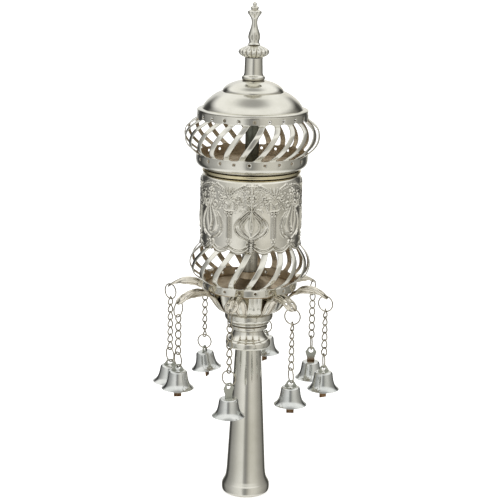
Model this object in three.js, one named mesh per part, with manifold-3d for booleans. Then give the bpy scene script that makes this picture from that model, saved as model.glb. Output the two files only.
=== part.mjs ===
// Torah finial (rimon) with eight bells: hollow handle, collar, calyx with eight leaf arms, two slatted
// cages, embossed drum, stepped dome and cast spire. Millimetres, +Z up, -Y to the front, origin at the
// centre of the foot's underside. Angles are in degrees from the front, turning towards +X.
import * as THREE from 'three';
import { mergeVertices } from 'three/addons/utils/BufferGeometryUtils.js';
import Module from 'manifold-3d';

const wasm = await Module();
wasm.setup();

// driving dimensions
const facets = 20;            // round the larger spun pieces
const wall = 1.0;             // sheet of collar and calyx
const gap = 0.3;              // clearance kept between separate pieces
const handleTop = 118.1;
const collarTop = 146.2;
const tubeFoot = 178.0;
const tubeStep = 257.6;       // the tube is slimmer above this height
const tubeHead = 299.6;
const tubeLowRadius = 5.9;
const tubeHighRadius = 5.2;
const tubeWall = 1.0;
const drumRadius = 37.6;
const drumWall = 0.9;
const drumTop = 253.9;
const drumEdge = 204.4;       // cusp under the middle of a panel
const scallop = [0, 5.1, 5.6, 2.8, 5.6, 5.1];     // how far the lower edge drops over one panel
const panels = 7;             // onion panels round the drum
const panelStart = 1;         // middle of the first panel
const cageSheet = 0.9;
const slatLean = 20;          // turn of a slat between its two bands
const armReach = 60.4;        // radius and height an arm is drawn for, at its eye
const armHeight = 162.4;
const eyeRadius = 2.0;
const ringWire = 0.5;         // wire radius of the jump rings
const topRing = 5.9;          // mean radii of the two rings of a set
const endRing = 5.6;
const linkPitch = 6.05;
const linkLength = 7.1;
const linkWidth = 5.2;
const linkWaist = 2.8;        // width where two links meet
const linkBore = 2.2;         // width of the hole in a link
const linkThick = 1.1;
const bellHeight = 13.8;
const bellLip = 12.2;
const bellWall = 0.8;
const tongueThick = 0.9;
const tongueEye = 1.85;

// the eight arms and what hangs from each: its angle, the radius and height of its eye (bent by hand, so
// they differ a little), chain links, whether the lug stands high over the bell, where the top ring, end
// ring and tongue face, and how far the bell leans to +X
const sets = {
  a: { arm: -103, reach: 62.5, eye: 162.4, links: 7, lug: 'short', faces: [-132, 35, 10], lean: -4 },
  b: { arm: -58, reach: 61.8, eye: 161.0, links: 5, lug: 'short', faces: [-30, 31, 6], lean: 0 },
  c: { arm: -146, reach: 63.0, eye: 162.4, links: 7, lug: 'short', faces: [-170, 72, 70], lean: 7 },
  d: { arm: -13, reach: 60.4, eye: 161.6, links: 6, lug: 'long', faces: [-13, 62, 34], lean: 0 },
  e: { arm: 167, reach: 60.0, eye: 162.4, links: 5, lug: 'short', faces: [167, 70, 50], lean: 0 },
  f: { arm: 32, reach: 60.4, eye: 162.2, links: 6, lug: 'short', faces: [72, 17, 0], lean: 0 },
  g: { arm: 124, reach: 60.4, eye: 162.4, links: 6, lug: 'long', faces: [158, 5, 0], lean: 0 },
  h: { arm: 77, reach: 59.5, eye: 162.2, links: 6, lug: 'short', faces: [62, 5, 28], lean: 0 },
};

const silver = new THREE.MeshStandardMaterial({ color: 0xcfccc0, roughness: 0.22, metalness: 1 });
const nickel = new THREE.MeshStandardMaterial({ color: 0xc3cacb, roughness: 0.16, metalness: 1 });
const copper = new THREE.MeshStandardMaterial({ color: 0x9a6a45, roughness: 0.45, metalness: 1 });
const toned = new THREE.MeshStandardMaterial({ color: 0x8f8270, roughness: 0.35, metalness: 1 });
const steel = new THREE.MeshStandardMaterial({ color: 0x666a60, roughness: 0.4, metalness: 1 });

const finial = new THREE.Group();
finial.name = 'torah_finial';

const rad = THREE.MathUtils.degToRad;
const around = (radius, height, angle) => new THREE.Vector3(
  radius * Math.sin(rad(angle)), -radius * Math.cos(rad(angle)), height,
);
const arc = (length, radius) => THREE.MathUtils.radToDeg(length / radius);

// closed solid from points and triangles, turned outwards whichever way the triangles ran
function solidFrom(points, triangles) {
  const edge1 = new THREE.Vector3();
  const volume = triangles.reduce((sum, [a, b, c]) => (
    sum + edge1.crossVectors(points[b], points[c]).dot(points[a])
  ), 0);
  const outward = volume > 0 ? triangles : triangles.map(([a, b, c]) => [a, c, b]);
  return new wasm.Manifold(new wasm.Mesh({
    numProp: 3,
    vertProperties: new Float32Array(points.flatMap((point) => point.toArray())),
    triVerts: new Uint32Array(outward.flat()),
  }));
}

function solidOf(geometry) {
  geometry.deleteAttribute('normal');
  geometry.deleteAttribute('uv');
  const merged = mergeVertices(geometry);
  const position = merged.getAttribute('position');
  const points = [];
  for (let i = 0; i < position.count; i += 1) {
    points.push(new THREE.Vector3().fromBufferAttribute(position, i));
  }
  const triangles = [];
  for (let i = 0; i < merged.index.count; i += 3) {
    const [a, b, c] = [0, 1, 2].map((k) => merged.index.getX(i + k));
    if (a !== b && b !== c && c !== a) triangles.push([a, b, c]);
  }
  return solidFrom(points, triangles);
}

function addMesh(parent, name, solid, material) {
  const { vertProperties, triVerts } = solid.getMesh();
  const geometry = new THREE.BufferGeometry();
  geometry.setAttribute('position', new THREE.BufferAttribute(new Float32Array(vertProperties), 3));
  geometry.setIndex(new THREE.BufferAttribute(new Uint32Array(triVerts), 1));
  geometry.computeVertexNormals();
  const mesh = new THREE.Mesh(geometry, material);
  mesh.name = name;
  parent.add(mesh);
  return mesh;
}

// profile of [radius, height] spun round the axis: it starts and ends on the axis, or is closed here;
// bend gives a fluted or lobed radius by angle
function spin(profile, count = facets, bend = (radius) => radius) {
  const closed = profile[0][0] > 0 ? [...profile, profile[0]] : profile;
  const lathe = new THREE.LatheGeometry(closed.map(([r, z]) => new THREE.Vector2(r, z)), count);
  lathe.rotateX(Math.PI / 2);
  const position = lathe.getAttribute('position');
  for (let i = 0; i < position.count; i += 1) {
    const [x, y, z] = [position.getX(i), position.getY(i), position.getZ(i)];
    const radius = Math.hypot(x, y);
    const bent = bend(radius, z, THREE.MathUtils.radToDeg(Math.atan2(x, -y)));
    const scale = radius > 0 ? bent / radius : 1;
    position.setXYZ(i, x * scale, y * scale, z);
  }
  return solidOf(lathe);
}

// rows of points, each row a closed section; the rows close on each other or end in flat caps
function loft(rows, joined) {
  const count = rows[0].length;
  const triangles = [];
  const last = joined ? rows.length : rows.length - 1;
  for (let i = 0; i < last; i += 1) {
    const here = i * count;
    const next = ((i + 1) % rows.length) * count;
    for (let j = 0; j < count; j += 1) {
      const k = (j + 1) % count;
      triangles.push([here + j, here + k, next + k], [here + j, next + k, next + j]);
    }
  }
  // a cap is laced across from the first half of the section to the second
  const cap = [];
  for (let j = 0; j + 1 < count - 1 - j; j += 1) {
    const across = count - 1 - j;
    cap.push([j, j + 1, across]);
    if (j + 1 < across - 1) cap.push([j + 1, across - 1, across]);
  }
  if (!joined) {
    const end = (rows.length - 1) * count;
    cap.forEach(([a, b, c]) => triangles.push([a, c, b], [end + a, end + b, end + c]));
  }
  return solidFrom(rows.flat(), triangles);
}

// handle: spun tube with a rolled foot, open below, closed by a plate under the collar
function makeHandle() {
  return spin([
    [0, handleTop - 1.6], [8.8, handleTop - 1.6], [14.0, 18], [14.7, 12.4], [17.2, 5.0], [15.8, 0],
    [16.7, 0], [18.3, 1.6], [18.6, 5.4], [17.4, 9.0], [15.8, 12.8], [15.1, 18], [9.9, handleTop],
    [0, handleTop],
  ]);
}

// collar: hollow spun piece with a lower bead, a waist and a bowl under the calyx
function makeCollar() {
  const foot = handleTop + gap;
  const outside = [
    [16.0, foot], [17.5, 120.4], [17.2, 123.2], [15.4, 125.1], [11.2, 131.6], [14.5, 134.6],
    [16.4, 138.4], [18.5, 142.4], [18.3, 145.0], [16.8, collarTop],
  ];
  const inside = [
    [7.0, collarTop], [7.0, collarTop - wall], [16.4, 144.6], [12.9, 135.8], [10.1, 132.0],
    [16.0, 121.8], [7.0, foot + wall], [7.0, foot],
  ];
  return spin([...outside, ...inside]);
}

// leaf arm: arched channel, open below, over a crest from the cup wall down to its flat pierced tip;
// each row of the spine is radius, height, width and depth
function makeArm({ arm, reach, eye }) {
  const spine = [
    [25.6, 152.8, 13.6, 1.8], [31.4, 160.6, 10.6, 2.4], [36.8, 164.8, 8.0, 1.8],
    [39.2, 167.2, 7.6, 3.6], [44.6, 168.8, 7.4, 4.8], [51.4, 168.1, 8.2, 4.2],
    [57.0, 165.2, 10.0, 1.2], [62.2, 161.3, 6.4, 1.2],
  ];
  const across = new THREE.Vector3(Math.cos(rad(arm)), Math.sin(rad(arm)), 0);
  const bent = (radius, height) => {
    const share = THREE.MathUtils.clamp((radius - 37) / (armReach - 37), 0, 1);
    return [radius + share * (reach - armReach), height + share * (eye - armHeight)];
  };
  const rows = spine.map(([radius, height, width, depth], i) => {
    const [r0, z0] = spine[Math.max(i - 1, 0)];
    const [r1, z1] = spine[Math.min(i + 1, spine.length - 1)];
    const slope = Math.atan2(z1 - z0, r1 - r0);
    const [outer, inner] = [width / 2, width / 2 - 0.8];
    const section = [
      [-outer, -depth], [-outer, -0.3], [0, 0], [outer, -0.3], [outer, -depth],
      [inner, -depth], [inner, -1.0], [0, -0.8], [-inner, -1.0], [-inner, -depth],
    ];
    return section.map(([side, lift]) => (
      around(...bent(radius - lift * Math.sin(slope), height + lift * Math.cos(slope)), arm)
        .addScaledVector(across, side)
    ));
  });
  const bore = new THREE.CylinderGeometry(eyeRadius, eyeRadius, 6, 6);
  bore.rotateX(rad(50));
  bore.rotateZ(rad(arm));
  bore.translate(...around(reach, eye, arm).toArray());
  return loft(rows, false).subtract(solidOf(bore));
}

// calyx: fluted cup and its arms
function makeCalyx() {
  const flute = (radius, height, angle) => {
    const share = THREE.MathUtils.clamp((height - 147) / 10, 0, 1);
    return radius * (1 + 0.03 * share * Math.cos(rad(8 * (angle - sets.d.arm))));
  };
  const foot = collarTop + gap;
  const cup = spin([
    [6.4, foot], [18.6, foot], [24.4, 149.6], [28.2, 156.0], [30.6, 163.6], [29.5, 163.8],
    [27.1, 156.4], [23.8, 150.8], [18.4, foot + wall], [6.4, foot + wall],
  ], 24, flute);
  return Object.values(sets).reduce((calyx, set) => calyx.add(makeArm(set)), cup);
}

// floor of the lower cage: flat plate rising to a low cone under the tube
function makeLowerFloor() {
  return spin([
    [0, 172.6], [6.0, 172.6], [20.0, 165.0], [34.4, 164.8], [34.4, 165.7], [20.4, 166.1],
    [8.4, 173.0], [6.6, tubeFoot - gap], [0, tubeFoot - gap],
  ], 16);
}

function makeTube() {
  return spin([
    [tubeLowRadius, tubeFoot], [tubeLowRadius, tubeStep], [tubeHighRadius, tubeStep + 0.8],
    [tubeHighRadius, tubeHead], [tubeHighRadius - tubeWall, tubeHead],
    [tubeHighRadius - tubeWall, tubeStep + 0.6], [tubeLowRadius - tubeWall, tubeStep - 0.4],
    [tubeLowRadius - tubeWall, tubeFoot],
  ], 10);
}

// cage cut from one sheet: two bands joined by bulging slats that lean between them;
// each band and the bulge are [radius, height] from low to high, firstGap is the angle of one opening
function makeCage({ low, bulge, high, slats, slatWidth, firstGap }) {
  const pitch = 360 / slats;
  const start = firstGap - pitch / 2;
  const points = [];
  const triangles = [];
  const quad = (a, b, c, d) => triangles.push([a, b, c], [a, c, d]);
  const put = (radius, height, angle) => points.push(around(radius, height, angle)) - 1;
  // a station is the sheet's outer and inner point at one height
  const station = ([radius, height], angle) => [
    put(radius, height, angle), put(radius - cageSheet, height, angle),
  ];
  const edges = (rows, lean) => Array.from({ length: 2 * slats }, (unused, i) => {
    const side = (i % 2 ? 1 : -1) * arc(slatWidth / 2, rows[0][0]);
    const angle = start + Math.floor(i / 2) * pitch + lean + side;
    return rows.map((row) => station(row, angle));
  });
  const strip = (left, right) => {
    for (let j = 0; j < left.length - 1; j += 1) {
      quad(left[j][0], right[j][0], right[j + 1][0], left[j + 1][0]);
      quad(left[j][1], left[j + 1][1], right[j + 1][1], right[j][1]);
    }
  };
  const lowEdges = edges(low, 0);
  const highEdges = edges(high, slatLean);
  [lowEdges, highEdges].forEach((band, isHigh) => band.forEach((left, i) => {
    const right = band[(i + 1) % band.length];
    const underSlat = i % 2 === 0;
    strip(left, right);
    if (isHigh || !underSlat) {
      const [a, b] = [left[left.length - 1], right[right.length - 1]];
      quad(a[0], b[0], b[1], a[1]);
    }
    if (!isHigh || !underSlat) quad(left[0][0], left[0][1], right[0][1], right[0][0]);
  }));
  const [foot, head] = [low[low.length - 1][1], high[0][1]];
  for (let i = 0; i < slats; i += 1) {
    const sides = [-1, 1].map((side) => {
      const edge = 2 * i + (side > 0 ? 1 : 0);
      const middle = bulge.map(([radius, height]) => {
        const share = (height - foot) / (head - foot);
        const half = arc(0.46 * slatWidth, radius);
        return station([radius, height], start + i * pitch + slatLean * share + side * half);
      });
      return [lowEdges[edge][low.length - 1], ...middle, highEdges[edge][0]];
    });
    strip(sides[0], sides[1]);
    sides.forEach((side, right) => {
      for (let j = 0; j < side.length - 1; j += 1) {
        if (right) quad(side[j][0], side[j][1], side[j + 1][1], side[j + 1][0]);
        else quad(side[j][0], side[j + 1][0], side[j + 1][1], side[j][1]);
      }
    });
  }
  return solidFrom(points, triangles);
}

const lowerCage = {
  low: [[35.9, 165.6], [36.8, 171.6]],
  bulge: [[42.4, 175.6], [45.8, 182.0], [45.0, 189.6]],
  high: [[36.2, 198.9], [36.2, 206.8]],
  slats: 19,
  slatWidth: 5.4,
  firstGap: 7.4,
};
const upperCage = {
  low: [[40.4, 259.6], [42.0, 268.4]],
  bulge: [[47.0, 272.8], [50.8, 280.4], [49.2, 288.4]],
  high: [[41.9, 294.2], [41.4, 300.1]],
  slats: 23,
  slatWidth: 5.3,
  firstGap: -2.4,
};

// raised line on the drum: roof-shaped section along a path of [angle, height]
function rib(path, width, height, closed = false) {
  const at = (i) => (closed ? path[(i + path.length) % path.length]
    : path[THREE.MathUtils.clamp(i, 0, path.length - 1)]);
  const rows = path.map(([angle, level], i) => {
    const along = new THREE.Vector2(
      rad(at(i + 1)[0] - at(i - 1)[0]) * drumRadius, at(i + 1)[1] - at(i - 1)[1],
    ).normalize();
    return [-width / 2, 0, width / 2].map((side) => around(
      drumRadius + (side === 0 ? height : -0.45), level + side * along.x,
      angle - arc(side * along.y, drumRadius),
    ));
  });
  return loft(rows, closed);
}

// onion outline, pointed above and below, one half mirrored into the other
function onion(axis, middle, halfWidth, rise, fall) {
  const half = [[0, -1], [0.78, -0.5], [0.92, 0.14], [0.34, 0.6], [0, 1]];
  const place = (side) => ([out, level]) => [
    axis + side * arc(out * halfWidth, drumRadius), middle + level * (level > 0 ? rise : fall),
  ];
  return [...half.map(place(1)), ...half.slice(1, -1).reverse().map(place(-1))];
}

// drum: embossed sheet, turned in at the shoulder, with a scalloped lower edge
function makeDrum() {
  const lining = drumRadius - drumWall;
  const profile = [
    [drumRadius, drumEdge], [drumRadius, 250.4], [34.8, drumTop], [33.8, drumTop - drumWall],
    [lining, 249.8], [lining, drumEdge],
  ];
  const columns = scallop.length * panels;
  const rows = Array.from({ length: columns }, (unused, i) => {
    const drop = scallop[i % scallop.length];
    return profile.map(([radius, height]) => around(
      radius, height === drumEdge ? height - drop : height, panelStart + i * 360 / columns,
    ));
  });
  let drum = loft(rows, true);
  for (let i = 0; i < panels; i += 1) {
    const axis = panelStart + i * 360 / panels;
    const half = 180 / panels;
    const arch = [-0.96, -0.5, 0, 0.5, 0.96].map((share) => (
      [axis + share * half, 251.0 - 9.6 * share * share]
    ));
    drum = drum.add(rib(onion(axis, 219.4, 12.6, 11.6, 9.6), 2.2, 0.8, true))
      .add(rib([[axis, 230.4], [axis, 221.0], [axis, 212.6]], 8.4, 1.2))
      .add(rib(arch, 2.2, 0.9))
      .add(rib([[axis + half, 208.0], [axis + half, 230.6]], 2.8, 0.9));
  }
  return drum;
}

// neck: grooved ring on the drum and the floor disc of the upper cage in one spinning
function makeNeck() {
  const bore = tubeHighRadius + gap + 0.8;
  return spin([
    [bore, 260.2], [33.0, 260.2], [33.0, drumTop + gap], [36.4, drumTop + gap], [36.9, 256.0],
    [35.0, 257.4], [36.0, 258.8], [38.4, 260.6], [38.4, 261.4], [bore, 261.2],
  ]);
}

// dome: two stepped tiers over a sloping rim, hollow
function makeDome() {
  return spin([
    [0, 321.8], [14.8, 319.6], [22.2, 314.2], [31.2, 308.6], [36.4, 300.4], [41.2, 300.4],
    [40.6, 301.8], [37.7, 302.0], [34.8, 307.0], [29.4, 311.4], [23.6, 314.5], [22.8, 314.7],
    [19.8, 318.4], [14.6, 321.0], [0, 323.0],
  ], 24);
}

function makePost() {
  return spin([
    [4.6, 323.3], [8.0, 323.3], [8.7, 324.8], [6.9, 327.6], [6.6, 339.3], [4.6, 339.3],
  ], 12);
}

// turban: gadrooned knob with sixteen lobes
function makeTurban() {
  const lobes = (radius, height, angle) => (
    radius > 5.5 ? radius * (1 + 0.045 * Math.cos(rad(16 * angle))) : radius
  );
  return spin([
    [0, 339.6], [7.4, 339.6], [11.0, 342.6], [10.7, 344.8], [6.9, 347.4], [4.2, 348.8], [0, 348.8],
  ], 32, lobes);
}

// spire: fluted bulb, neck, fluted knop and two beads, cast in one
function makeSpire() {
  const near = (height, level, spread) => Math.exp(-(((height - level) / spread) ** 2));
  const flutes = (radius, height, angle) => {
    const share = near(height, 354.6, 2.4) + near(height, 371.8, 2);
    return radius * (1 + 0.1 * share * Math.cos(rad(8 * angle)));
  };
  return spin([
    [0, 349.1], [4.8, 349.1], [3.6, 350.8], [4.3, 354.6], [2.3, 362.0], [2.1, 366.4],
    [4.8, 371.6], [4.6, 373.6], [2.6, 374.4], [3.1, 376.0], [1.3, 377.4], [1.6, 378.8],
    [0, 380.0],
  ], 16, flutes);
}

// jump ring standing in the XZ plane
function makeRing(radius) {
  const ring = new THREE.TorusGeometry(radius, ringWire, 3, 10);
  ring.rotateZ(Math.PI / 10);
  ring.rotateX(Math.PI / 2);
  return solidOf(ring);
}

// curb chain lying flat, links fused end to end, hanging from its top at the origin and twisted to turn
function makeChain(links, turn) {
  const length = (links - 1) * linkPitch + linkLength;
  const step = length / links;
  const points = [];
  const triangles = [];
  // front and back point at a distance across the chain and a depth below its top
  const put = (side, depth) => {
    const twist = rad(turn * depth / length);
    [-1, 1].forEach((face) => points.push(new THREE.Vector3(
      side * Math.cos(twist) - face * linkThick / 2 * Math.sin(twist),
      side * Math.sin(twist) + face * linkThick / 2 * Math.cos(twist), -depth,
    )));
    return points.length - 2;
  };
  const pair = (width, depth) => [put(-width / 2, depth), put(width / 2, depth)];
  const sheet = (loop) => {
    for (let k = 1; k < loop.length - 1; k += 1) {
      triangles.push([loop[0], loop[k], loop[k + 1]]);
      triangles.push([loop[0] + 1, loop[k + 1] + 1, loop[k] + 1]);
    }
  };
  const rim = (a, b) => triangles.push([a, b + 1, b], [a, a + 1, b + 1]);
  let above = pair(linkWaist, 0);
  rim(above[1], above[0]);
  for (let i = 0; i < links; i += 1) {
    const wide = pair(linkWidth, (i + 0.5) * step);
    const below = pair(linkWaist, (i + 1) * step);
    const boreTop = pair(linkBore, i * step + linkThick);
    const boreEnd = pair(linkBore, (i + 1) * step - linkThick);
    sheet([above[0], boreTop[0], boreTop[1], above[1]]);
    sheet([boreEnd[0], below[0], below[1], boreEnd[1]]);
    sheet([wide[0], below[0], boreEnd[0], boreTop[0], above[0]]);
    sheet([wide[1], above[1], boreTop[1], boreEnd[1], below[1]]);
    [above[0], wide[0], below[0]].reduce((a, b) => { rim(a, b); return b; });
    [below[1], wide[1], above[1]].reduce((a, b) => { rim(a, b); return b; });
    [boreTop[0], boreTop[1], boreEnd[1], boreEnd[0], boreTop[0]]
      .reduce((a, b) => { rim(a, b); return b; });
    above = below;
  }
  rim(above[0], above[1]);
  return solidFrom(points, triangles);
}

// bell with its crown at the origin and a slot for the tongue
function makeBell() {
  const bell = spin([
    [0, -bellWall], [5.6, -bellWall], [7.4, -7.8], [bellLip - 1.2, -bellHeight],
    [bellLip, -bellHeight], [9.8, -11.6], [8.2, -7.8], [7.1, -1.6], [5.8, 0], [0, 0],
  ], 10);
  const slot = new THREE.BoxGeometry(9.5, tongueThick + 2 * gap, 3);
  return bell.subtract(solidOf(slot));
}

// tongue: flat strip with a pierced six-sided head, its eye at the origin
function makeTongue() {
  const right = [[2.0, 2.9], [4.5, -1.2], [3.0, -5.8], [2.8, -22.8]];
  const left = right.map(([x, y]) => [-x, y]).reverse();
  const outline = new THREE.Shape([...right, ...left].map(([x, y]) => new THREE.Vector2(x, y)));
  const eye = Array.from({ length: 6 }, (unused, k) => (
    new THREE.Vector2(tongueEye * Math.cos(rad(60 * k)), tongueEye * Math.sin(rad(60 * k)))
  ));
  outline.holes.push(new THREE.Path(eye));
  const strip = new THREE.ExtrudeGeometry(outline, { depth: tongueThick, bevelEnabled: false });
  strip.translate(0, 0, -tongueThick / 2);
  strip.rotateX(Math.PI / 2);
  return solidOf(strip);
}

addMesh(finial, 'handle', makeHandle(), silver);
addMesh(finial, 'collar', makeCollar(), silver);
addMesh(finial, 'calyx', makeCalyx(), silver);
addMesh(finial, 'lower_floor', makeLowerFloor(), toned);
addMesh(finial, 'lower_cage', makeCage(lowerCage), silver);
addMesh(finial, 'centre_tube', makeTube(), steel);
addMesh(finial, 'drum', makeDrum(), silver);
addMesh(finial, 'neck', makeNeck(), silver);
addMesh(finial, 'upper_cage', makeCage(upperCage), silver);
addMesh(finial, 'dome', makeDome(), silver);
addMesh(finial, 'post', makePost(), silver);
addMesh(finial, 'turban', makeTurban(), silver);
addMesh(finial, 'spire', makeSpire(), silver);

const crownBelowEye = { short: 1.9, long: 8.6 };
const bite = ringWire + gap + linkThick;       // how far a link reaches past a ring's wire

Object.entries(sets).forEach(([letter, { arm, reach, eye, links, lug, faces, lean }]) => {
  const [topFace, endFace, tongueFace] = faces;
  const hanger = new THREE.Group();
  hanger.position.copy(around(reach, eye, arm));
  finial.add(hanger);

  const upper = addMesh(hanger, `ring_top_${letter}`, makeRing(topRing), silver);
  upper.position.z = -topRing;
  upper.rotation.z = rad(topFace - 90);

  const half = THREE.MathUtils.euclideanModulo(endFace - topFace, 180);
  const turn = half > 90 ? half - 180 : half;
  const chain = addMesh(hanger, `chain_${letter}`, makeChain(links, turn), silver);
  chain.position.z = -2 * topRing + bite;
  chain.rotation.z = rad(topFace);

  const lower = addMesh(hanger, `ring_end_${letter}`, makeRing(endRing), silver);
  const chainEnd = chain.position.z - (links - 1) * linkPitch - linkLength;
  lower.position.z = chainEnd + bite - endRing;
  lower.rotation.z = rad(endFace - 90);

  const swing = new THREE.Group();
  swing.position.z = lower.position.z - endRing - 0.9;
  swing.rotation.y = rad(-lean);
  hanger.add(swing);
  const bell = addMesh(swing, `bell_${letter}`, makeBell(), nickel);
  bell.position.z = -crownBelowEye[lug];
  bell.rotation.z = rad(tongueFace);
  const tongue = addMesh(swing, `tongue_${letter}`, makeTongue(), copper);
  tongue.rotation.z = rad(tongueFace);
});

export default finial;
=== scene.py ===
import math

import bmesh
import bpy
import numpy as np
from mathutils import Matrix, Vector


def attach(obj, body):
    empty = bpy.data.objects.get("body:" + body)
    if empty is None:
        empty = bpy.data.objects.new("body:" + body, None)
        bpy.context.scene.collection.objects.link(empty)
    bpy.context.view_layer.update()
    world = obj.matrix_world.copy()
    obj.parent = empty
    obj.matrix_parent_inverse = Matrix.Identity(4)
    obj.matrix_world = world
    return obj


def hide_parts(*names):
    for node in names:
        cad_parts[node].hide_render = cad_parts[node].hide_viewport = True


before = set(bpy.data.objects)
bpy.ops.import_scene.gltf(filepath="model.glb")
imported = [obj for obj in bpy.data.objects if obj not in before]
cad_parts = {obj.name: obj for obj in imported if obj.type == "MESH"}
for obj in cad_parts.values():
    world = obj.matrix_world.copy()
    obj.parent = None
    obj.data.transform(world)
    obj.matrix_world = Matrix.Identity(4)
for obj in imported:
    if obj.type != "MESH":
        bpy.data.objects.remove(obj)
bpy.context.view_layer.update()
scene = bpy.context.scene
print("frame loaded:", len(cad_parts), "nodes")

# sizes are in millimetres, angles in degrees from the front (-Y) turning towards +X


def linear(hexColour):
    shares = [int(hexColour[i:i + 2], 16) / 255 for i in (1, 3, 5)]
    return [c / 12.92 if c <= 0.04045 else ((c + 0.055) / 1.055) ** 2.4 for c in shares] + [1]


def addNode(tree, kind, settings=None, sockets=None):
    node = tree.nodes.new(kind)
    for name, value in (settings or {}).items():
        setattr(node, name, value)
    for name, value in (sockets or {}).items():
        if isinstance(value, bpy.types.NodeSocket):
            tree.links.new(value, node.inputs[name])
        else:
            node.inputs[name].default_value = value
    return node


def platedMetal(name, look):
    # polished plate over brass: a clear mirror with faint waves from hand polishing and a thin dull film
    material = bpy.data.materials.new(name)
    material.use_nodes = True
    tree = material.node_tree
    shader = tree.nodes["Principled BSDF"]
    shader.inputs["Metallic"].default_value = 1.0
    place = addNode(tree, "ShaderNodeTexCoord").outputs["Object"]
    film = addNode(tree, "ShaderNodeTexNoise", sockets={
        "Vector": place, "Scale": 1000 / look["filmMm"], "Detail": 5.0, "Roughness": 0.62})
    tone = addNode(tree, "ShaderNodeValToRGB", sockets={"Fac": film.outputs["Fac"]})
    tone.color_ramp.elements[0].position = 0.36
    tone.color_ramp.elements[0].color = linear(look["filmColour"])
    tone.color_ramp.elements[1].position = 0.62
    tone.color_ramp.elements[1].color = linear(look["colour"])
    gloss = addNode(tree, "ShaderNodeMapRange", sockets={
        "Value": film.outputs["Fac"], "From Min": 0.3, "From Max": 0.7,
        "To Min": look["roughness"][1], "To Max": look["roughness"][0]})
    waves = addNode(tree, "ShaderNodeTexNoise", sockets={
        "Vector": place, "Scale": 1000 / look["waveMm"], "Detail": 2.0})
    bump = addNode(tree, "ShaderNodeBump", sockets={
        "Height": waves.outputs["Fac"], "Strength": look["waveStrength"],
        "Distance": look["waveDepthMm"] / 1000})
    grain = addNode(tree, "ShaderNodeTexNoise", sockets={
        "Vector": place, "Scale": 1000 / look["grainMm"], "Detail": 3.0})
    fine = addNode(tree, "ShaderNodeBump", sockets={
        "Height": grain.outputs["Fac"], "Strength": look["grainStrength"],
        "Distance": look["grainDepthMm"] / 1000, "Normal": bump.outputs["Normal"]})
    # painted shade, partly the tarnish polishing leaves: ambient occlusion darkens the colour in hollows,
    # under overhangs and between parts
    hollow = addNode(tree, "ShaderNodeAmbientOcclusion", {"samples": 6},
                    {"Distance": look["hollowMm"] / 1000, "Normal": fine.outputs["Normal"]})
    unshadedShare = addNode(tree, "ShaderNodeMapRange", sockets={
        "Value": hollow.outputs["AO"], "From Min": 0.3, "From Max": 0.85})
    mix = addNode(tree, "ShaderNodeMix", {"data_type": "RGBA"}, {
        "Factor": unshadedShare.outputs["Result"], 6: linear(look["hollow"]), 7: tone.outputs["Color"]})
    tree.links.new(mix.outputs[2], shader.inputs["Base Color"])
    tree.links.new(gloss.outputs["Result"], shader.inputs["Roughness"])
    tree.links.new(fine.outputs["Normal"], shader.inputs["Normal"])
    return material


# each finish's last two entries give the colour and reach of painted shade, partly tarnish, laid where
# ambient occlusion finds hollows, overhangs and gaps between parts
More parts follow.
